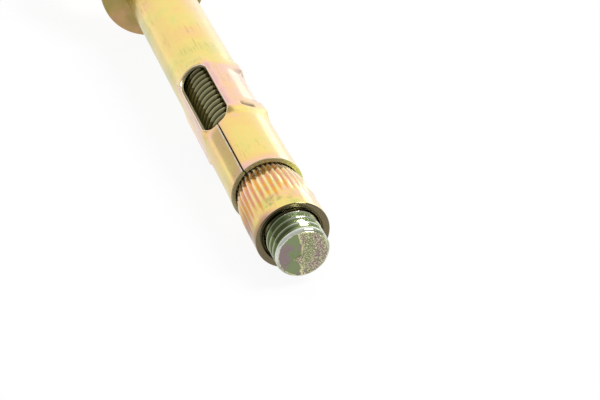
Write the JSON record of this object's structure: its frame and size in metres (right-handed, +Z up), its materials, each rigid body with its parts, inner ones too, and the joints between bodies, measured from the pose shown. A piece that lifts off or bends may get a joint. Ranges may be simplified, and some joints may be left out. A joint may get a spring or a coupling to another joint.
{
  "type": "ring anchor bolt",
  "caption": "Sleeve anchor for masonry: a closed ring bent from its threaded bolt, a washer, a slotted expansion sleeve with long windows, and a knurled cone nut at the tip.",
  "frame": {"origin": "centre of the base, on the surface it lies on", "axes": "+Z up; +X along the bolt from the ring to the tip, level, with the bolt's own axis leaning about 3 degrees down towards the tip"},
  "size_m": [0.085, 0.0216, 0.014],
  "materials": {
    "bolt_zinc": "yellow chromated zinc plating, worn to grey on the thread",
    "washer_zinc": "yellow chromated zinc plating, satin",
    "sleeve_zinc": "yellow chromated zinc plating, bright with fine scratches",
    "nut_zinc": "yellow chromated zinc plating, bright on the knurl"
  },
  "bodies": {
    "sleeve": {"expansion_sleeve": "sleeve_zinc", "washer": "washer_zinc"},
    "bolt": {"ring_bolt": "bolt_zinc"},
    "nut": {"cone_nut": "nut_zinc"}
  },
  "joints": [
    {"name": "ring_turn", "type": "hinge", "parent": "sleeve", "child": "bolt", "pos_m": [-0.01954, 0, 0.00699], "axis": [-0.9987, 0, 0.0511], "range_deg": [0, 1080]},
    {"name": "cone_travel", "type": "slide", "parent": "sleeve", "child": "nut", "axis": [0.9987, 0, -0.0511], "range_m": [0, 0.003]}
  ],
  "couplings": [
    {"joint": "cone_travel", "follows": "ring_turn", "m_per_rad": 0.00015915}
  ]
}
